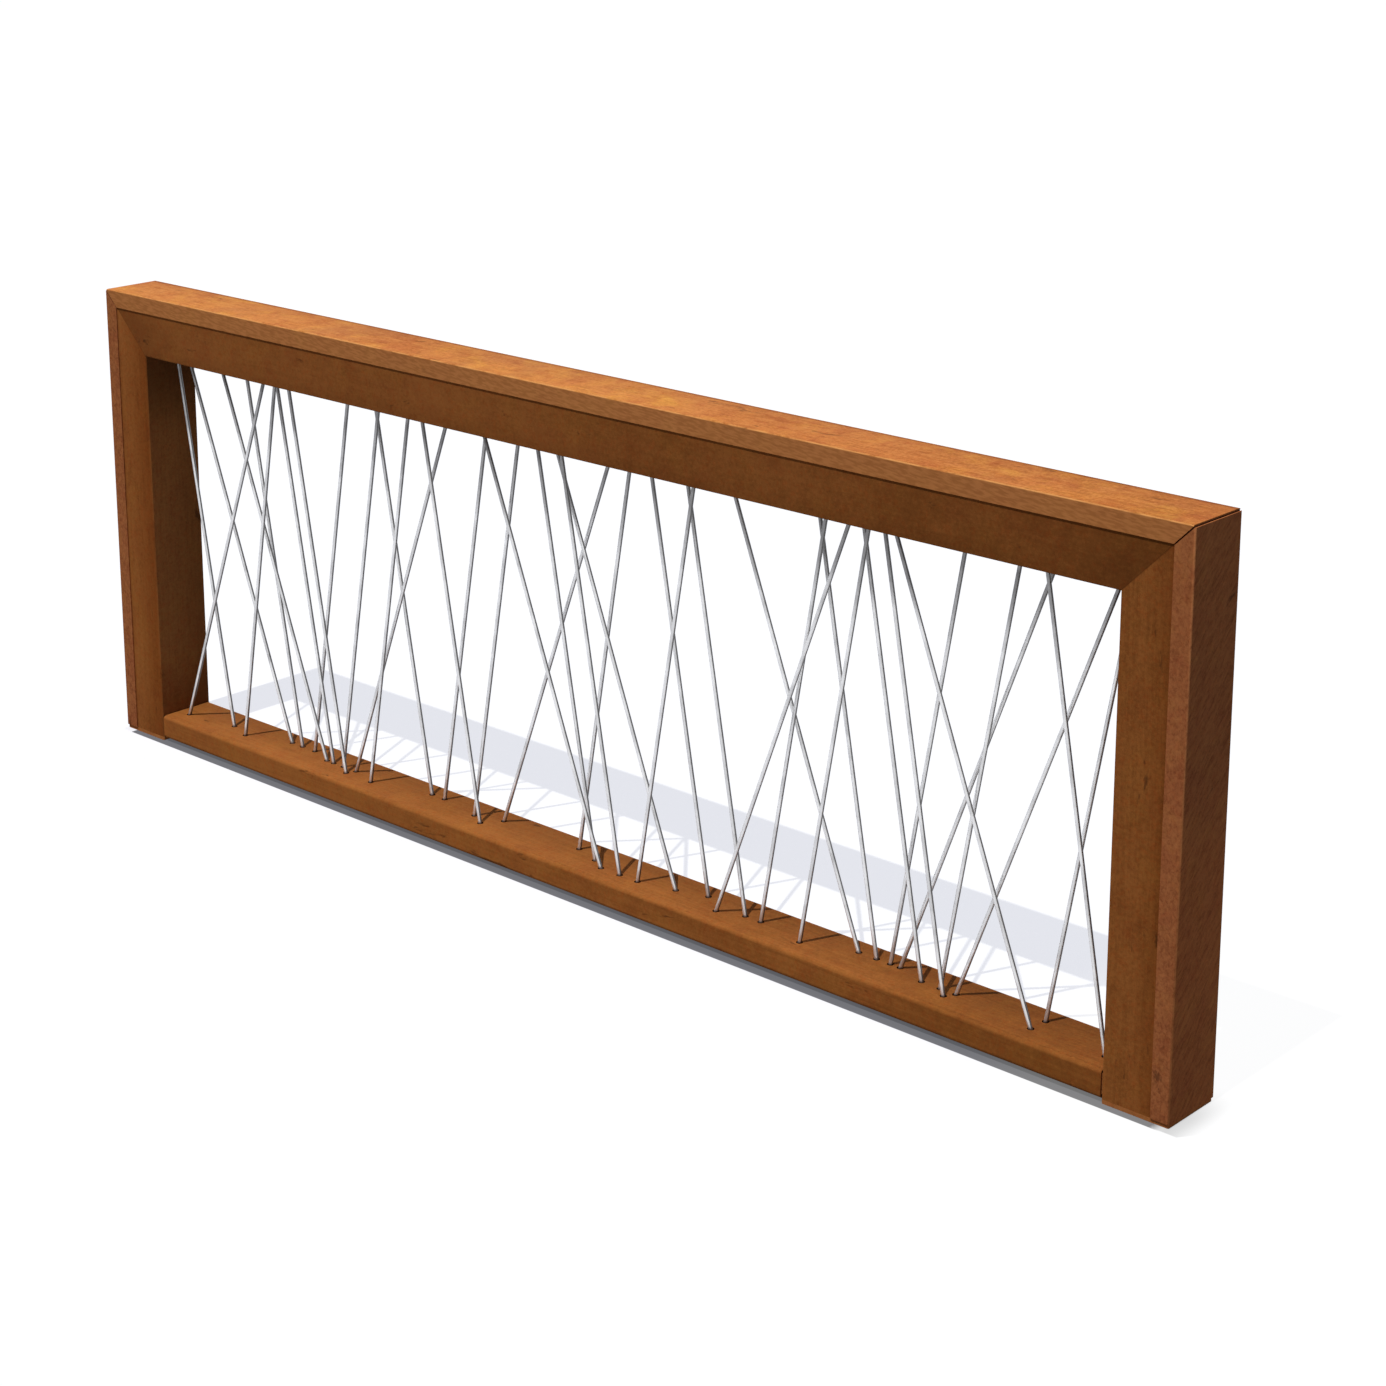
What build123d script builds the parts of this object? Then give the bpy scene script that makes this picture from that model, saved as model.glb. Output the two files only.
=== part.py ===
from build123d import *
import os

# Corten steel fence panel: a mitred frame of box sections under folded cover sheets, a bottom rail
# and three rows of slanting stainless wires. Millimetres, +X along the panel, front towards -Y, +Z up.
# The origin is the middle of the left foot plate's underside.

# Overall size, outside the covers
panel_length = 2140
panel_height = 780

# Posts and top beam: square box sections
box_side = 100
box_wall = 4
box_edge = 1.5  # bevel along the long edges

# Cover sheets folded over the top and over both ends
cover_sheet = 1.5
cover_inner_bend = 1
cover_lip = 28  # from the outer face to the lip's free edge
cover_fit = 0.2  # gap between a cover and its box
cover_seam = 2  # open seam along the mitres

# Plates under the posts
foot_plate = 6

# Bottom rail: a flat hollow section as deep as the boxes
rail_height = 40
rail_wall = 3
rail_inner_bend = 3
rail_lift = 5  # ground to the rail's underside
rail_end_gap = 2  # open joint at each post

# Brackets that carry the rail from inside its open ends
bracket_plate = 4
bracket_reach = 40
bracket_fit = 0.3

# Wires
wire_diameter = 6
wire_hole = 10
wire_row_pitch = 15

# One pattern serves all three rows. Its stations divide the opening into equal steps, counted from the middle.
# Each wire has the station where it stands on the rail, and the stations it leans by the time it meets the beam.
stations = 800
gentle_stations = 47
steep_stations = 99
wire_pattern = [
    (-289, -steep_stations),
    (-278, -gentle_stations),
    (-265, gentle_stations),
    (-146, -gentle_stations),
    (-134, gentle_stations),
    (-78, steep_stations),
    (-10, gentle_stations),
    (99, -gentle_stations),
    (215, -steep_stations),
    (228, -gentle_stations),
    (238, gentle_stations),
    (245, steep_stations),
    (345, gentle_stations),
]

# Places that follow from the sizes
cover_total = cover_sheet + cover_fit
cover_step = cover_sheet + cover_seam / 2 ** 0.5  # upper corner to the square end of each sheet
panel_depth = box_side + 2 * cover_total
left_end = -(box_side / 2 + cover_total)
right_end = left_end + panel_length
left_post_x = 0
right_post_x = right_end - cover_total - box_side / 2
middle_x = (left_end + right_end) / 2
opening_left = left_post_x + box_side / 2
opening_right = right_post_x - box_side / 2
box_top = panel_height - cover_total
opening_top = box_top - box_side
rail_top = rail_lift + rail_height
rail_floor = rail_lift + rail_wall
station_step = (opening_right - opening_left) / stations

# The upper corners share one mitre plane each, and its normal points into the top beam
left_mitre = Plane(origin=(left_end, 0, panel_height), z_dir=(1, 0, 1))
right_mitre = Plane(origin=(right_end, 0, panel_height), z_dir=(-1, 0, 1))


def box_outline():
    square = Rectangle(box_side, box_side)
    return chamfer(square.vertices(), box_edge)


def box_section():
    return box_outline() - Rectangle(box_side - 2 * box_wall, box_side - 2 * box_wall)


def cover_section():
    """A folded sheet with its outer face along X and both lips pointing towards -Y."""
    outside = Pos(0, -cover_lip / 2) * Rectangle(panel_depth, cover_lip)
    outside = fillet(outside.vertices().group_by(Axis.Y)[-1], cover_inner_bend + cover_sheet)
    inside = Pos(0, -cover_sheet - cover_lip / 2) * Rectangle(panel_depth - 2 * cover_sheet, cover_lip)
    inside = fillet(inside.vertices().group_by(Axis.Y)[-1], cover_inner_bend)
    return outside - inside


def above(solid, plane):
    return split(solid, bisect_by=plane, keep=Keep.TOP)


def below(solid, plane):
    return split(solid, bisect_by=plane, keep=Keep.BOTTOM)


def post(x, mitre):
    column = extrude(Pos(x, 0, foot_plate) * box_section(), box_top - foot_plate, dir=(0, 0, 1))
    return below(column, mitre)


def foot(x):
    return extrude(Pos(x, 0, 0) * box_outline(), foot_plate)


def end_cover(x, turn, mitre):
    section = Pos(x, 0, foot_plate) * Rot(0, 0, turn) * cover_section()
    sheet = extrude(section, panel_height - cover_step - foot_plate, dir=(0, 0, 1))
    return below(sheet, mitre.offset(-cover_seam / 2))


def top_cap():
    section = Plane.YZ.offset(left_end + cover_step) * Pos(0, panel_height) * cover_section()
    sheet = extrude(section, panel_length - 2 * cover_step)
    for mitre in (left_mitre, right_mitre):
        sheet = above(sheet, mitre.offset(cover_seam / 2))
    return sheet


def top_beam():
    section = Plane.YZ.offset(left_end) * Pos(0, box_top - box_side / 2) * box_section()
    beam = extrude(section, panel_length)
    for mitre in (left_mitre, right_mitre):
        beam = above(beam, mitre)
    return beam


def bottom_rail(wire_places):
    rail_start = opening_left + rail_end_gap
    rail_length = opening_right - opening_left - 2 * rail_end_gap
    outside = RectangleRounded(box_side, rail_height, rail_inner_bend + rail_wall)
    inside = RectangleRounded(box_side - 2 * rail_wall, rail_height - 2 * rail_wall, rail_inner_bend)
    section = Plane.YZ.offset(rail_start) * Pos(0, rail_lift + rail_height / 2) * (outside - inside)
    rail = extrude(section, rail_length)
    drill = Pos(0, 0, rail_top - rail_wall / 2) * Cylinder(wire_hole / 2, 2 * rail_wall)
    return rail - [Pos(x, y) * drill for x, y in wire_places]


def rail_bracket(x, inward):
    """A plate on the post with two tongues that lie along the inside of the rail's walls."""
    width = box_side - 2 * rail_wall - 2 * bracket_fit
    height = rail_height - 2 * rail_wall - 2 * rail_inner_bend
    level = rail_lift + (rail_height - height) / 2
    outline = Rectangle(bracket_reach, width, align=(Align.MIN, Align.CENTER))
    slot_length = bracket_reach - bracket_plate
    slot_place = Pos(bracket_plate, 0)
    slot = slot_place * Rectangle(slot_length, width - 2 * bracket_plate, align=(Align.MIN, Align.CENTER))
    turn = 0 if inward > 0 else 180
    return extrude(Pos(x, 0, level) * Rot(0, 0, turn) * (outline - slot), height)


def wire_rows():
    """Foot and head stations of each wire: the pattern upside down, end for end, and as it is."""
    return {
        "front": (-wire_row_pitch, [(foot + lean, foot) for foot, lean in wire_pattern]),
        "middle": (0, [(-foot, -foot - lean) for foot, lean in reversed(wire_pattern)]),
        "back": (wire_row_pitch, [(foot, foot + lean) for foot, lean in wire_pattern]),
    }


def wire(foot_x, head_x, y):
    """A round wire, cut square, from the rail's floor through the middle of its hole to the beam's underside."""
    hole_height = rail_top - rail_wall / 2
    along = Vector(head_x - foot_x, 0, opening_top - hole_height).normalized()
    end_rise = wire_diameter / 2 * abs(along.X)  # from the lowest point of a slanting square end to its middle
    start_height = rail_floor + end_rise
    length = (opening_top - end_rise - start_height) / along.Z
    start_x = foot_x - (hole_height - start_height) * along.X / along.Z
    start = Plane(origin=(start_x, y, start_height), z_dir=along)
    return extrude(start * Circle(wire_diameter / 2), length)


nodes = {
    "left_foot_plate": foot(left_post_x),
    "right_foot_plate": foot(right_post_x),
    "left_post": post(left_post_x, left_mitre),
    "right_post": post(right_post_x, right_mitre),
    "top_beam": top_beam(),
    "top_cap": top_cap(),
    "left_end_cover": end_cover(left_end, 90, left_mitre),
    "right_end_cover": end_cover(right_end, -90, right_mitre),
    "left_rail_bracket": rail_bracket(opening_left, 1),
    "right_rail_bracket": rail_bracket(opening_right, -1),
}

wire_places = []
for row, (y, wires) in wire_rows().items():
    for number, (foot_station, head_station) in enumerate(wires, start=1):
        foot_x = middle_x + foot_station * station_step
        head_x = middle_x + head_station * station_step
        wire_places.append((foot_x, y))
        nodes[f"{row}_wire_{number:02d}"] = wire(foot_x, head_x, y)
nodes["bottom_rail"] = bottom_rail(wire_places)

os.makedirs("parts", exist_ok=True)
for name, solid in nodes.items():
    export_step(solid, f"parts/{name}.step")
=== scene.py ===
import math

import bpy
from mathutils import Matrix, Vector


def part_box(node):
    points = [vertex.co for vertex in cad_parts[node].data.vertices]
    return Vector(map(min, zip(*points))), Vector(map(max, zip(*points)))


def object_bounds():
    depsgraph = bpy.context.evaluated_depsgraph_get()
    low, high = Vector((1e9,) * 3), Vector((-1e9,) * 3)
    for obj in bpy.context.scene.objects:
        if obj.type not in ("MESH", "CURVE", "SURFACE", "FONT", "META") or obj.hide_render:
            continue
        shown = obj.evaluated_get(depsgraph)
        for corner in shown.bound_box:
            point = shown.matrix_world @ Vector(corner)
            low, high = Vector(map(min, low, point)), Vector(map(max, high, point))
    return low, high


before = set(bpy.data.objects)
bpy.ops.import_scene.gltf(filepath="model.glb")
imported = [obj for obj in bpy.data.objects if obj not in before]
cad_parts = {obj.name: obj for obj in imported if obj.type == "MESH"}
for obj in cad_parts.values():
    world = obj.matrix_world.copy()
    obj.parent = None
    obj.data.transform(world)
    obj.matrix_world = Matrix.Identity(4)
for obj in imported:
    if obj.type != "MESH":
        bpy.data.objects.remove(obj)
cad_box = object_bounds()

# Camera, as the photograph sees the panel
camera_place = Vector((3.7531, -2.7481, 1.6735))
camera_azimuth = math.radians(42.43)
camera_elevation = math.radians(13.73)
camera_focal_px = 2757
camera_shift = -0.2
camera_reach = 200
photo_width_px = 1386
sensor_width_mm = 36

# Light: a high lamp straight in front, one overhead, a weak soft one behind, and an even sky
key_towards = Vector((0, -0.42, 1))
key_strength = 2.0
key_angle = math.radians(0.5)
overhead_towards = Vector((0, 0.0125, 1))
overhead_strength = 0.72
overhead_angle = math.radians(0.4)
fill_towards = Vector((-0.8, 0.9, 0.7))
fill_strength = 0.35
fill_angle = math.radians(40)
sky_colour = (0.94, 0.97, 1.0, 1)
sky_strength = 0.12
white = (1, 1, 1, 1)

# Floor: at large, in the pale part behind the right post, whose painted light fades the panel's
# shadow, in the painted shadow strip under the panel, and in the painted shadow beside the right foot
floor_half = 60
floor_drop = 0.0002
floor_albedo = (0.41, 0.40, 0.365, 1)
floor_bounce = (0.24, 0.237, 0.23, 1)
floor_glow = (0.614, 0.631, 0.703, 1)
pale_albedo = (0.08, 0.078, 0.074, 1)
pale_glow = (0.945, 0.948, 0.955, 1)
strip_albedo = (0.1, 0.1, 0.108, 1)
strip_glow = 0.172
contact_share = 0.33

# Places on the panel, in metres
panel_left, panel_right = cad_box[0][0], cad_box[1][0]
panel_middle = (panel_left + panel_right) / 2
panel_half = (panel_right - panel_left) / 2
panel_half_depth = cad_box[1][1]
panel_height = cad_box[1][2]
post_pitch = 2 * (panel_half - panel_half_depth)
beam_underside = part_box("top_beam")[0][2]
beam_edge = panel_height - beam_underside
rail_low, rail_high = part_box("bottom_rail")
rail_top = rail_high[2]
rail_middle = (rail_low[2] + rail_high[2]) / 2
rail_half_height = (rail_high[2] - rail_low[2]) / 2
rail_half_depth = rail_high[1]
rail_bend = 0.0021
rail_skin = 0.0028
cover_lip = 0.028
bore_band = 0.024

# Where each mark on the rust and the wires starts and where it is full, in metres
# Painted shade towards the panel's right end, as a lamp's falloff
falloff_shade_reach = (0.7, 2.1)
# Painted light and shade across the tops, and a painted shade line along their back edges
tint_reach = (-panel_half_depth, panel_half_depth)
back_line_reach = (0.04, 0.047)
mitre_line_reach = (0.0022, 0.0006)
# Painted shade beside the lips and under the covers' seams
lip_shade_reach = (0.007, 0.0)
seam_reach = (0.003, 0.002)
seam_cover_reach = (0.0, -0.002)
beside_mitre_reach = (0.16, 0.0)
# Painted shade along the beam's lower edge
low_edge_reach = (beam_edge - 0.03, beam_edge)
post_edge_reach = (0.03, 0.1)
# Painted shade on the posts' inner faces, under the beam, above the rail and towards the back
below_beam_reach = (beam_underside - 0.03, beam_underside - 0.17)
above_rail_reach = (rail_top + 0.01, rail_top + 0.09)
inner_depth_reach = (-0.03, 0.06)
# Painted shade on the end covers' upper halves
upper_reach = (0.28, 0.48)
# Painted shade in the wire holes and inside the rail
bore_reach = (bore_band, bore_band - 0.001)
inner_side_reach = (rail_half_depth - rail_bend, rail_half_depth - rail_skin)
inner_level_reach = (rail_half_height - rail_bend, rail_half_height - rail_skin)
# Painted shade on the wires below the beam
wire_under_beam_shade_reach = (beam_underside - 0.17, beam_underside)
# Painted shade at the wire's foot, where it enters its hole
wire_foot_reach = (rail_top + 0.005, rail_top - 0.001)

# Places on the floor, in metres: the painted shadow strip under the panel, the painted shadow beside
# the right foot, and the pale part behind the right post whose painted light fades the shadow
strip_start = panel_left + 0.025
strip_end = panel_right - 0.018
strip_fade = 0.012
strip_middle = (strip_start + panel_right) / 2
strip_half = (panel_right - strip_start) / 2
strip_offset = -0.0105
strip_front = strip_offset - panel_half_depth
strip_edge_reach = (-0.001, 0.0005)
strip_end_reach = (strip_end - strip_fade, strip_end + strip_fade)
contact_start = -0.086
contact_slope = 1.4
contact_end_reach = (0.04, 0.0)
contact_edge_reach = (0.0, 0.003)
contact_depth_reach = (0.09, -0.02)
pale_reach = (panel_right - 0.35, panel_right - 0.17)

# Rust layers: features to a metre, octaves of detail, and how rough and twisted they are
patch_layer = {"scale": 4.5, "detail": 3.0, "roughness": 0.55}
cloud_layer = {"scale": 36.0, "detail": 4.0, "roughness": 0.6}
fibre_layer = {"scale": 190.0, "detail": 3.0, "roughness": 0.6, "distortion": 0.7}
scar_layer = {"scale": 30.0, "detail": 4.0, "roughness": 0.7, "distortion": 0.5}
speck_layer = {"scale": 230.0, "detail": 3.0, "roughness": 0.65}
grain_layer = {"scale": 900.0, "detail": 2.0, "roughness": 0.6}
dash_layer = {"scale": 290.0, "detail": 1.0, "roughness": 0.5}
stain_layer = {"detail": 4.0, "roughness": 0.6, "distortion": 0.6}

# Rust: how far its layers are shifted and stretched, and the values at which each thing sets in
along_x, along_z = 0, 2
seed_shift = (3.7, 1.9, 2.3)
scar_shift = (5.1, 3.3, 8.7)
stain_shift = (2.9, 0, 1)
scar_stretch = 0.35
dash_stretch = 0.2
dash_slant = math.radians(-6)
middle_tone = 0.52
tone_stops = (0.18, 0.38, 0.52, 0.68, 0.9)
pit_range = (0.63, 0.71)
stain_range = (0.48, 0.66)
bend_range = (0.15, 0.42)
worn_and_lit_range = (0.3, 0.6)
dash_range = (0.38, 0.62)
lip_range = (0.5, 0.1)
wall_range = (0.6, 0.3)

# Rust: how strong each layer or mark is, in colour and in relief
grain_share = 0.2
pit_share = 0.55
lip_share = 0.82
back_line_share = 0.8
mitre_line_share = 0.35
lip_shade_share = 0.2
beside_mitre_share = 0.5
low_edge_share = 0.35
above_rail_share = 0.5
speck_relief = 0.5
cloud_relief = 0.3
grain_relief = 0.35
pit_relief = 0.5
rust_relief = 0.3
rust_depth = 0.0006
rust_rough = 0.68
rust_rough_spread = 0.3
rust_gloss = 0.05

# Rust colours from the darkest to the brightest
cap_tones = [(0.34, 0.102, 0.026), (0.51, 0.168, 0.045), (0.61, 0.222, 0.064),
             (0.69, 0.280, 0.084), (0.78, 0.355, 0.115)]
cover_tones = [(0.22, 0.066, 0.024), (0.36, 0.114, 0.040), (0.47, 0.160, 0.058),
               (0.55, 0.195, 0.070), (0.64, 0.250, 0.090)]
beam_tones = [(0.17, 0.051, 0.011), (0.26, 0.087, 0.020), (0.36, 0.123, 0.031),
              (0.42, 0.150, 0.040), (0.50, 0.190, 0.055)]
post_tones = [(0.19, 0.058, 0.013), (0.30, 0.100, 0.023), (0.41, 0.142, 0.035),
              (0.48, 0.172, 0.046), (0.57, 0.218, 0.063)]
# Lighter than the posts' tones: painted light on the foot plates, which the covers shade
foot_tones = [(0.25, 0.078, 0.022), (0.40, 0.140, 0.040), (0.54, 0.200, 0.064),
              (0.62, 0.240, 0.080), (0.70, 0.285, 0.100)]
rail_tones = [(0.22, 0.070, 0.015), (0.35, 0.118, 0.026), (0.465, 0.161, 0.038),
              (0.53, 0.192, 0.047), (0.61, 0.232, 0.062)]
lip_dark = (0.54, 0.202, 0.063, 1)
lip_bright = (0.69, 0.271, 0.090, 1)
pit_colour = (0.03, 0.013, 0.007, 1)
# Painted shade in the wire holes and inside the rail
inside_shade_colour = (0.035, 0.012, 0.005, 1)

# Tints that multiply the rust's colour, most of them painted light and shade
# Painted light at the cap's front, painted shade towards the tops' backs and along their back edges
cap_front_tint = (1.1, 1.1, 1.05, 1)
cap_back_tint = (0.95, 0.95, 0.94, 1)
rail_back_tint = (0.66, 0.66, 0.68, 1)
back_line_tint = (0.55, 0.48, 0.42, 1)
# Dark mitre lines, which also carry the painted shade beside the lips, and the painted shade under the
# seams
joint_and_shade_tint = (0.47, 0.41, 0.36, 1)
seam_shade_tint = (0.32, 0.27, 0.24, 1)
# The beam's darker tint beside its mitres, with painted shade along its lower edge
beam_tint = (0.52, 0.48, 0.45, 1)
post_edge_tint = (0.74, 0.63, 0.52, 1)
# Painted shade in the posts' inner corners and towards the back, and the tint of the rest of those
# faces
corner_shade_tint = (0.4, 0.45, 0.57, 1)
open_tint = (0.84, 0.94, 1.17, 1)
inner_depth_tint = (0.72, 0.7, 0.66, 1)
# Painted shade on the end covers' upper halves
upper_shade_tint = (0.86, 0.92, 0.98, 1)
# Stain tints, the rust's own colour
golden = (1.1, 1.24, 1.0, 1)
ruddy = (0.82, 0.66, 0.74, 1)
dun = (0.84, 0.84, 0.95, 1)
warm = (1.03, 0.9, 0.84, 1)

# Stains: how fine they are, how strong, and the tint that they give
cap_stains = [(5.0, 0.55, golden), (7.0, 0.7, dun), (16.0, 0.7, golden), (19.0, 0.6, ruddy),
              (120.0, 0.5, warm)]
cover_stains = [(19.0, 0.4, ruddy), (30.0, 0.3, golden), (120.0, 0.5, warm)]
frame_stains = [(22.0, 0.3, ruddy), (14.0, 0.25, golden), (150.0, 1.0, warm)]

# Wires: their layers, their shades from dull to bright, and the painted shade that darkens them
drawn_layer = {"scale": 2600.0, "detail": 2.0, "roughness": 0.6}
tarnish_layer = {"scale": 24.0, "detail": 3.0, "roughness": 0.6}
drawn_stretch = 0.02
wire_tones = [(0.0, (0.122, 0.12, 0.122)), (0.2, (0.45, 0.45, 0.46)), (0.4, (0.925, 0.93, 0.945))]
# Painted shade at the wire's foot, where it enters its hole
wire_hole_shade_colour = (0.1, 0.036, 0.014, 1)
wire_shade = 0.1
drawn_share = 0.15
tarnish_share = 0.35
# Painted shade on the wires' side turned right and back
shaded_side = Vector((0.74, 0.67, 0))
shaded_side_range = (0.1, 0.65)
shaded_side_share = 0.42
# Painted shade on the wires below the beam
under_beam_shade_share = 0.28
wire_relief = 0.25
wire_depth = 0.0001
wire_rough = 0.3
wire_rough_spread = 0.2
wire_metal = 0.7

# Rounded edges of the cap's and the end covers' sheet
sheet_round = 0.0005
round_segments = 2
weld_distance = 1e-5
flat_angle = math.radians(1)
sharp_angle = math.radians(40)


class Graph:
    """Short calls for building a node tree."""

    def __init__(self, tree):
        self.tree = tree
        tree.nodes.clear()

    def add(self, kind, settings=None, **sockets):
        made = self.tree.nodes.new("ShaderNode" + kind)
        for name, value in (settings or {}).items():
            setattr(made, name, value)
        for name, value in sockets.items():
            self.feed(made.inputs[name.replace("_", " ")], value)
        return made

    def feed(self, socket, value):
        if isinstance(value, bpy.types.NodeSocket):
            self.tree.links.new(value, socket)
        else:
            socket.default_value = value

    def math(self, operation, *values):
        made = self.add("Math", {"operation": operation})
        for socket, value in zip(made.inputs, values):
            self.feed(socket, value)
        return made.outputs[0]

    def mix(self, factor, first, second, blend="MIX"):
        """Mixes two colours, through sockets taken by number because others share their names."""
        made = self.add("Mix", {"data_type": "RGBA", "blend_type": blend})
        self.feed(made.inputs[0], factor)
        self.feed(made.inputs[6], first)
        self.feed(made.inputs[7], second)
        return made.outputs[2]

    def steps(self, value, low, high):
        """0 at low, 1 at high, smooth between and level beyond."""
        made = self.add("MapRange", {"interpolation_type": "SMOOTHSTEP"}, Value=value)
        made.inputs["From Min"].default_value = low
        made.inputs["From Max"].default_value = high
        return made.outputs["Result"]

    def noise(self, place, scale, detail, roughness, distortion=0.0):
        made = self.add("TexNoise", Vector=place, Scale=scale, Detail=detail, Roughness=roughness,
                        Distortion=distortion)
        return made.outputs["Fac"]

    def ramp(self, value, stops):
        made = self.add("ValToRGB", Fac=value)
        points = made.color_ramp.elements
        while len(points) < len(stops):
            points.new(0.5)
        for point, (position, colour) in zip(points, stops):
            point.position = position
            point.color = (*colour, 1)
        return made.outputs["Color"]

    def scaled(self, place, scale, offset=(0, 0, 0)):
        made = self.add("Mapping", Vector=place, Scale=scale, Location=offset)
        return made.outputs["Vector"]

    def shifted(self, place, offset, times):
        return self.scaled(place, (1, 1, 1), [part * times for part in offset])

    def turned(self, place, angles):
        return self.add("Mapping", Vector=place, Rotation=angles).outputs["Vector"]

    def split(self, vector):
        parts = self.add("SeparateXYZ", Vector=vector).outputs
        return parts["X"], parts["Y"], parts["Z"]


def shader_graph(name):
    """A new material and its empty node tree."""
    material = bpy.data.materials.new(name)
    material.use_nodes = True
    return material, Graph(material.node_tree)


def stretched(axis, share):
    """The scale that draws a pattern out along one axis."""
    return [share if number == axis else 1.0 for number in range(3)]


def seen_directly(graph):
    """1 for rays from the camera or off a mirror or glass, 0 for light off matt surfaces."""
    path = graph.add("LightPath").outputs
    seen = graph.math("MAXIMUM", path["Is Camera Ray"], path["Is Glossy Ray"])
    return graph.math("MAXIMUM", seen, path["Is Transmission Ray"])


def facing(graph):
    """How far a face turns to the panel's ends, to its front or back, and up or down, from 0 to 1."""
    normal = graph.add("NewGeometry").outputs["Normal"]
    return [graph.math("ABSOLUTE", part) for part in graph.split(normal)]


def corten(name, tones, along, seed, patch=0.2, cloud=0.2, fibre=0.2, fibre_stretch=0.06, lean=0.0,
           speck=0.3, stains=(), wear_and_highlight=0.4, falloff_shade=0.0, marks=()):
    """Weathering steel. tones runs from the darkest rust to the brightest, along is the rolling
    direction and lean turns it about X. patch, cloud, fibre and speck are the layers' shares. The
    bends are lightened, partly as wear and partly as a painted highlight, and on the pieces that ask
    for it painted shade darkens the colour towards the panel's right end, as a lamp's falloff would;
    marks adds what one piece has."""
    material, graph = shader_graph(name)
    here = graph.add("TexCoord").outputs["Object"]
    place = graph.shifted(here, seed_shift, seed)
    rolled = graph.turned(place, (lean, 0, 0))
    fibres = graph.noise(graph.scaled(rolled, stretched(along, fibre_stretch)), **fibre_layer)
    scars = graph.noise(graph.scaled(rolled, stretched(along, scar_stretch), scar_shift), **scar_layer)
    patches = graph.noise(place, **patch_layer)
    clouds = graph.noise(place, **cloud_layer)
    specks = graph.noise(place, **speck_layer)
    grain = graph.noise(place, **grain_layer)
    pits = graph.steps(scars, *pit_range)

    tone = graph.math("MULTIPLY_ADD", patches, patch, middle_tone - patch / 2)
    for layer, share in ((clouds, cloud), (fibres, fibre), (specks, speck), (grain, grain_share)):
        tone = graph.math("ADD", tone, graph.math("MULTIPLY_ADD", layer, share, -share / 2))
    # Painted shade: darker towards the panel's right end, as a lamp's falloff would make it
    if falloff_shade:
        right = graph.steps(graph.split(here)[0], *falloff_shade_reach)
        tone = graph.math("ADD", tone, graph.math("MULTIPLY", right, -falloff_shade))
    colour = graph.ramp(tone, list(zip(tone_stops, tones)))
    for number, (scale, share, tint) in enumerate(stains):
        spread = graph.noise(graph.shifted(place, stain_shift, number), scale, **stain_layer)
        stained = graph.math("MULTIPLY", graph.steps(spread, *stain_range), share)
        colour = graph.mix(stained, colour, tint, "MULTIPLY")
    colour = graph.mix(graph.math("MULTIPLY", pits, pit_share), colour, pit_colour)

    to_end, to_front, to_top = facing(graph)
    # Bends lightened towards the brightest tone: partly wear, partly a painted highlight along the
    # bends
    bend = graph.math("MULTIPLY", to_front, graph.math("MAXIMUM", to_end, to_top))
    worn_and_lit = graph.math("MULTIPLY", graph.steps(bend, *bend_range), graph.steps(clouds, *worn_and_lit_range))
    colour = graph.mix(graph.math("MULTIPLY", worn_and_lit, wear_and_highlight), colour, (*tones[-1], 1))
    for mark in marks:
        colour = mark(graph, colour, here)

    relief = graph.math("MULTIPLY_ADD", specks, speck_relief,
                        graph.math("MULTIPLY", clouds, cloud_relief))
    relief = graph.math("MULTIPLY_ADD", grain, grain_relief, relief)
    relief = graph.math("MULTIPLY_ADD", fibres, fibre, relief)
    relief = graph.math("SUBTRACT", relief, graph.math("MULTIPLY", pits, pit_relief))
    bump = graph.add("Bump", Strength=rust_relief, Distance=rust_depth, Height=relief)
    rough = graph.math("MULTIPLY_ADD", clouds, rust_rough_spread, rust_rough)
    surface = graph.add("BsdfPrincipled", Roughness=rough, Normal=bump.outputs["Normal"])
    graph.feed(surface.inputs["Base Color"], colour)
    surface.inputs["Specular IOR Level"].default_value = rust_gloss
    graph.add("OutputMaterial", Surface=surface.outputs[0])
    return material


def from_corner(graph, here):
    """Distances to the panel's nearer end and to its top."""
    across, _, height = graph.split(here)
    off_middle = graph.math("ABSOLUTE", graph.math("SUBTRACT", across, panel_middle))
    return graph.math("SUBTRACT", panel_half, off_middle), graph.math("SUBTRACT", panel_height, height)


def even_lips(graph, colour, here):
    """The cap's lips rust more evenly than its top, with rows of fine dashes that slant a little."""
    slanted = graph.turned(here, (0, dash_slant, 0))
    dashes = graph.noise(graph.scaled(slanted, stretched(along_x, dash_stretch)), **dash_layer)
    lip = graph.mix(graph.steps(dashes, *dash_range), lip_dark, lip_bright)
    on_lip = graph.steps(facing(graph)[2], *lip_range)
    return graph.mix(graph.math("MULTIPLY", on_lip, lip_share), colour, lip)


def painted_top_shading(front, back):
    """Paints light and shade on a top: the front tint at its front edge, the back tint at its back
    one, and a painted shade line along the back edge.
    """
    def mark(graph, colour, here):
        depth = graph.split(here)[1]
        tint = graph.mix(graph.steps(depth, *tint_reach), front, back)
        line = graph.math("MULTIPLY", graph.steps(depth, *back_line_reach), back_line_share)
        tint = graph.mix(line, tint, back_line_tint)
        return graph.mix(facing(graph)[2], colour, tint, "MULTIPLY")
    return mark


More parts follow.
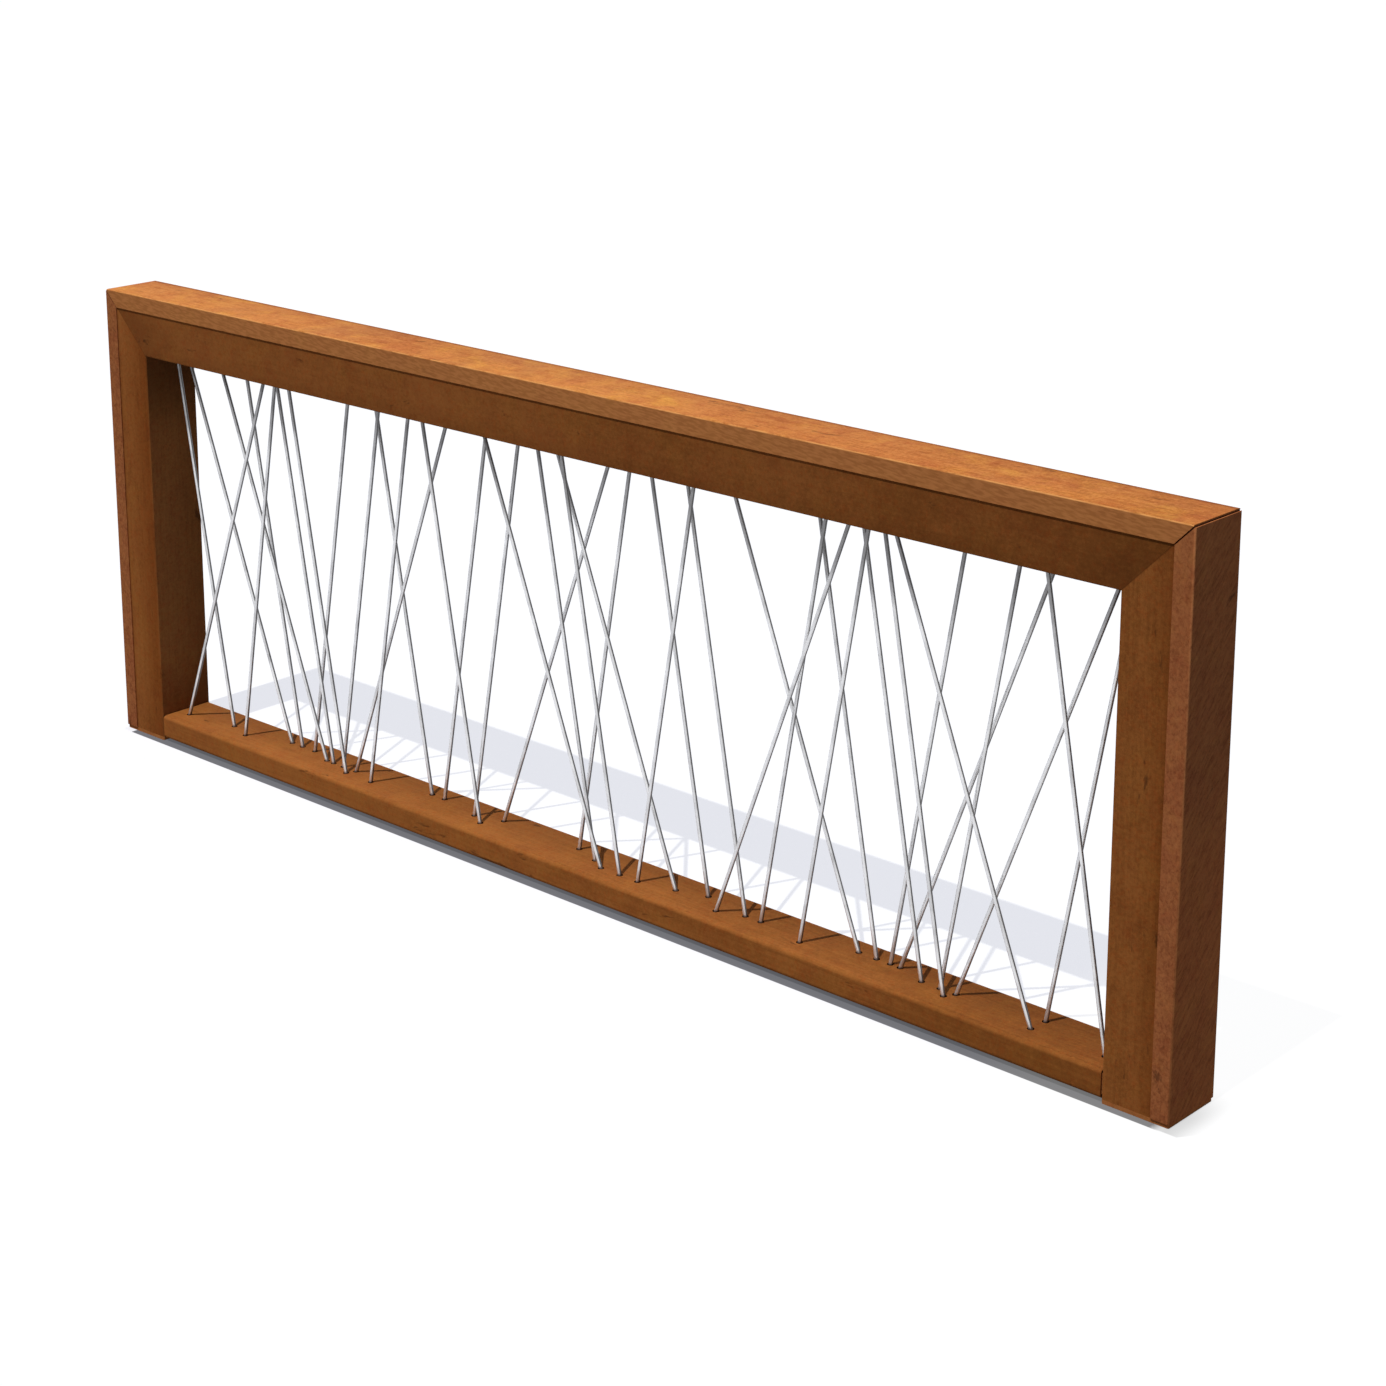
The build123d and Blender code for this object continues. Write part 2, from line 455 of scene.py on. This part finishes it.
def joint_lines(graph, colour, here):
    """Dark lines along the mitres, painted shade under the covers' seams, and painted shade on the
    steel beside the lips.
    """
    from_end, from_top = from_corner(graph, here)
    off_mitre = graph.math("ABSOLUTE", graph.math("SUBTRACT", from_end, from_top))
    mitre = graph.math("MULTIPLY", graph.steps(off_mitre, *mitre_line_reach), mitre_line_share)
    past_lip = graph.math("SUBTRACT", graph.math("MINIMUM", from_end, from_top), cover_lip)
    # Painted shade on the steel beside the lips
    lip_shade = graph.math("MULTIPLY", graph.steps(past_lip, *lip_shade_reach), lip_shade_share)
    colour = graph.mix(graph.math("MAXIMUM", mitre, lip_shade), colour, joint_and_shade_tint, "MULTIPLY")
    # Painted shade under the covers' seams
    seam = graph.math("MULTIPLY", graph.steps(off_mitre, *seam_reach),
                      graph.steps(past_lip, *seam_cover_reach))
    return graph.mix(seam, colour, seam_shade_tint, "MULTIPLY")


def beam_darkening(graph, colour, here):
    """The beam is darker beside its mitres, and painted shade darkens its lower edge."""
    from_end, from_top = from_corner(graph, here)
    from_mitre = graph.math("SUBTRACT", from_end, from_top)
    beside = graph.math("MULTIPLY", graph.steps(from_mitre, *beside_mitre_reach), beside_mitre_share)
    # Painted shade along the lower edge
    low = graph.math("MULTIPLY", graph.steps(from_top, *low_edge_reach), low_edge_share)
    return graph.mix(graph.math("MAXIMUM", beside, low), colour, beam_tint, "MULTIPLY")


def post_tint_and_shade(graph, colour, here):
    """Each post is browner towards its right edge. Round that edge it is greyer, with painted shade
    where it meets the beam, the rail and the back."""
    across, depth, height = graph.split(here)
    on_post = graph.math("FLOORED_MODULO", graph.math("SUBTRACT", across, panel_left), post_pitch)
    # Painted shade in the inner corners under the beam and above the rail, and towards the back
    below_beam = graph.steps(height, *below_beam_reach)
    above_rail = graph.math("MULTIPLY_ADD", graph.steps(height, *above_rail_reach),
                            above_rail_share, 1 - above_rail_share)
    open_part = graph.math("MULTIPLY", below_beam, above_rail)
    inner = graph.mix(open_part, corner_shade_tint, open_tint)
    inner = graph.mix(graph.steps(depth, *inner_depth_reach), inner, inner_depth_tint, "MULTIPLY")
    tint = graph.mix(facing(graph)[1], inner, post_edge_tint)
    return graph.mix(graph.steps(on_post, *post_edge_reach), colour, tint, "MULTIPLY")


def upper_shade(graph, colour, here):
    """Painted shade darkens the end covers' outer faces in their upper half."""
    upper = graph.math("MULTIPLY", graph.steps(graph.split(here)[2], *upper_reach), facing(graph)[0])
    return graph.mix(upper, colour, upper_shade_tint, "MULTIPLY")


def dark_inside(graph, colour, here):
    """Painted shade, near black, in the wire holes and inside the rail."""
    _, depth, height = graph.split(here)
    off_centre = graph.math("ABSOLUTE", depth)
    off_middle = graph.math("ABSOLUTE", graph.math("SUBTRACT", height, rail_middle))
    near_holes = graph.steps(off_centre, *bore_reach)
    bore = graph.math("MULTIPLY", near_holes, graph.steps(facing(graph)[2], *wall_range))
    inner = graph.math("MULTIPLY", graph.steps(off_centre, *inner_side_reach),
                       graph.steps(off_middle, *inner_level_reach))
    return graph.mix(graph.math("MAXIMUM", bore, inner), colour, inside_shade_colour)


def stainless(name):
    """Drawn wire, with painted shade on its side turned right and back, painted shade below the beam,
    and painted shade at its foot where it enters its hole.
    """
    material, graph = shader_graph(name)
    here = graph.add("TexCoord").outputs["Object"]
    drawn = graph.noise(graph.scaled(here, stretched(along_z, drawn_stretch)), **drawn_layer)
    tarnish = graph.noise(here, **tarnish_layer)
    shade = graph.math("MULTIPLY_ADD", drawn, drawn_share,
                       graph.math("MULTIPLY_ADD", tarnish, tarnish_share, wire_shade))
    turned = graph.add("VectorMath", {"operation": "DOT_PRODUCT"})
    graph.feed(turned.inputs[0], graph.add("NewGeometry").outputs["Normal"])
    graph.feed(turned.inputs[1], shaded_side)
    side_shade = graph.steps(turned.outputs["Value"], *shaded_side_range)
    height = graph.split(here)[2]
    under_beam_shade = graph.steps(height, *wire_under_beam_shade_reach)
    # Painted shade on the side turned right and back
    shade = graph.math("SUBTRACT", shade, graph.math("MULTIPLY", side_shade, shaded_side_share))
    # Painted shade below the beam
    shade = graph.math("SUBTRACT", shade, graph.math("MULTIPLY", under_beam_shade, under_beam_shade_share))
    # Painted shade at the foot, where the wire enters its hole: dark brown and less metal
    foot = graph.steps(height, *wire_foot_reach)
    colour = graph.mix(foot, graph.ramp(shade, wire_tones), wire_hole_shade_colour)
    bump = graph.add("Bump", Strength=wire_relief, Distance=wire_depth, Height=drawn)
    rough = graph.math("MULTIPLY_ADD", drawn, wire_rough_spread, wire_rough)
    surface = graph.add("BsdfPrincipled", Roughness=rough, Normal=bump.outputs["Normal"])
    graph.feed(surface.inputs["Base Color"], colour)
    graph.feed(surface.inputs["Metallic"], graph.math("MULTIPLY_ADD", foot, -wire_metal, wire_metal))
    graph.add("OutputMaterial", Surface=surface.outputs[0])
    return material


def clear_of_panel(graph, across, depth):
    """0 on the painted shadow strip of floor under the panel, 1 off it and past the strip's right end.
    """
    off_middle = graph.math("ABSOLUTE", graph.math("SUBTRACT", across, strip_middle))
    off_centre = graph.math("ABSOLUTE", graph.math("SUBTRACT", depth, strip_offset))
    beyond = graph.math("MAXIMUM", graph.math("SUBTRACT", off_middle, strip_half),
                        graph.math("SUBTRACT", off_centre, panel_half_depth))
    return graph.math("MAXIMUM", graph.steps(beyond, *strip_edge_reach),
                      graph.steps(across, *strip_end_reach))


def beside_foot(graph, across, depth):
    """1 on the wedge of painted shadow on the floor beside the right foot, 0 away from it."""
    past_end = graph.math("ABSOLUTE", graph.math("SUBTRACT", across, panel_right))
    wedge = graph.math("MULTIPLY_ADD", past_end, -contact_slope,
                       graph.math("SUBTRACT", depth, contact_start))
    wedge = graph.math("MINIMUM", wedge, graph.math("SUBTRACT", depth, strip_front))
    contact = graph.math("MULTIPLY", graph.steps(past_end, *contact_end_reach),
                         graph.steps(wedge, *contact_edge_reach))
    return graph.math("MULTIPLY", contact, graph.steps(depth, *contact_depth_reach))


def floor_paint():
    """Pale paint that glows where it is seen. It paints a shadow under the panel, where it hardly
    glows, and beside the right foot, where it glows less. Behind the right post it glows more,
    painted light that makes the panel's shadow faint there."""
    material, graph = shader_graph("floor_white")
    across, depth, _ = graph.split(graph.add("TexCoord").outputs["Object"])
    clear = clear_of_panel(graph, across, depth)
    contact = beside_foot(graph, across, depth)
    # Painted light behind the right post, fading the panel's shadow there
    pale = graph.steps(across, *pale_reach)
    seen = seen_directly(graph)
    albedo = graph.mix(pale, floor_albedo, pale_albedo)
    # The painted shadow strip has its own darker paint
    paint = graph.mix(seen, floor_bounce, graph.mix(clear, strip_albedo, albedo))
    matt = graph.add("BsdfDiffuse", Color=paint).outputs[0]
    # Painted shadow: little glow on the strip under the panel
    level = graph.math("MULTIPLY", graph.math("MAXIMUM", clear, strip_glow), seen)
    # Painted shadow: less glow beside the right foot
    level = graph.math("MULTIPLY", level, graph.math("MULTIPLY_ADD", contact, -contact_share, 1.0))
    glow_colour = graph.mix(pale, floor_glow, pale_glow)
    glow = graph.add("Emission", Color=glow_colour, Strength=level).outputs[0]
    both = graph.add("AddShader")
    graph.feed(both.inputs[0], matt)
    graph.feed(both.inputs[1], glow)
    graph.add("OutputMaterial", Surface=both.outputs[0])
    return material


def studio_floor():
    """A wide plane just under the foot plates."""
    mesh = bpy.data.meshes.new("floor")
    corners = [(x * floor_half, y * floor_half, -floor_drop)
               for x, y in ((-1, -1), (1, -1), (1, 1), (-1, 1))]
    mesh.from_pydata(corners, [], [(0, 1, 2, 3)])
    mesh.materials.append(floor_paint())
    floor = bpy.data.objects.new("floor", mesh)
    bpy.context.scene.collection.objects.link(floor)


def sky():
    """White where it is seen, and a weak even light on the panel."""
    world = bpy.data.worlds.new("sky")
    world.use_nodes = True
    graph = Graph(world.node_tree)
    even = graph.add("Background", Color=sky_colour, Strength=sky_strength).outputs[0]
    backdrop = graph.add("Background", Color=white, Strength=1.0).outputs[0]
    mixed = graph.add("MixShader", Fac=seen_directly(graph))
    graph.feed(mixed.inputs[1], even)
    graph.feed(mixed.inputs[2], backdrop)
    graph.add("OutputWorld", Surface=mixed.outputs[0])
    bpy.context.scene.world = world


def lamp(name, towards, strength, angle):
    """A distant lamp that stands in the given direction."""
    light = bpy.data.lights.new(name, "SUN")
    light.energy = strength
    light.angle = angle
    made = bpy.data.objects.new(name, light)
    made.rotation_euler = towards.to_track_quat("Z", "Y").to_euler()
    bpy.context.scene.collection.objects.link(made)


def camera():
    """The photograph's viewpoint, with part of its shift."""
    data = bpy.data.cameras.new("camera")
    data.sensor_fit = "HORIZONTAL"
    data.sensor_width = sensor_width_mm
    data.lens = sensor_width_mm * camera_focal_px / photo_width_px
    data.shift_y = camera_shift
    data.clip_end = camera_reach
    made = bpy.data.objects.new("camera", data)
    made.location = camera_place
    back = Vector((math.sin(camera_azimuth) * math.cos(camera_elevation),
                   -math.cos(camera_azimuth) * math.cos(camera_elevation),
                   math.sin(camera_elevation)))
    made.rotation_euler = back.to_track_quat("Z", "Y").to_euler()
    bpy.context.scene.collection.objects.link(made)
    bpy.context.scene.camera = made


def soften(node):
    """Rounds a solid's sharp edges, as cut sheet has them."""
    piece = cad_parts[node]
    weld = piece.modifiers.new("weld", "WELD")
    weld.merge_threshold = weld_distance
    flat = piece.modifiers.new("flat", "DECIMATE")
    flat.decimate_type = "DISSOLVE"
    flat.angle_limit = flat_angle
    bevel = piece.modifiers.new("bevel", "BEVEL")
    bevel.width = sheet_round
    bevel.segments = round_segments
    bevel.limit_method = "ANGLE"
    bevel.angle_limit = sharp_angle
    bevel.harden_normals = True


def dress(node, material):
    """Gives a solid its only material."""
    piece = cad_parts[node]
    piece.data.materials.clear()
    piece.data.materials.append(material)


cap_rust = corten("cap_rust", cap_tones, along_x, seed=1, patch=0.3, cloud=0.36, fibre=0.45,
                  fibre_stretch=0.1, speck=0.6, stains=cap_stains, wear_and_highlight=0.9, falloff_shade=0.12,
                  marks=[even_lips, painted_top_shading(cap_front_tint, cap_back_tint)])
cover_rust = corten("cover_rust", cover_tones, along_z, seed=2, fibre=0.7, fibre_stretch=0.22,
                    lean=math.radians(44), speck=0.4, stains=cover_stains, marks=[upper_shade])
post_rust = corten("post_rust", post_tones, along_z, seed=3, cloud=0.13, fibre=0.27, speck=0.42,
                   stains=frame_stains, falloff_shade=0.05, marks=[joint_lines, post_tint_and_shade])
beam_rust = corten("beam_rust", beam_tones, along_x, seed=4, patch=0.28, fibre=0.15, speck=0.35,
                   stains=frame_stains, falloff_shade=0.15, marks=[joint_lines, beam_darkening])
rail_rust = corten("rail_rust", rail_tones, along_x, seed=5, fibre=0.3, fibre_stretch=0.03,
                   stains=frame_stains, wear_and_highlight=0.1, falloff_shade=0.16,
                   marks=[painted_top_shading(white, rail_back_tint), dark_inside])
# Lighter tones paint light onto the foot plates in the covers' shadow
foot_rust = corten("foot_rust", foot_tones, along_x, seed=6, speck=0.35, stains=frame_stains)
wire_steel = stainless("wire_steel")

dress("top_cap", cap_rust)
dress("top_beam", beam_rust)
dress("bottom_rail", rail_rust)
soften("top_cap")
for side in ("left", "right"):
    dress(f"{side}_end_cover", cover_rust)
    dress(f"{side}_post", post_rust)
    dress(f"{side}_foot_plate", foot_rust)
    dress(f"{side}_rail_bracket", foot_rust)
    soften(f"{side}_end_cover")
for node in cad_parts:
    if "_wire_" in node:
        dress(node, wire_steel)

studio_floor()
sky()
lamp("key", key_towards, key_strength, key_angle)
lamp("overhead", overhead_towards, overhead_strength, overhead_angle)
lamp("fill", fill_towards, fill_strength, fill_angle)
camera()
bpy.context.scene.view_settings.view_transform = "Standard"
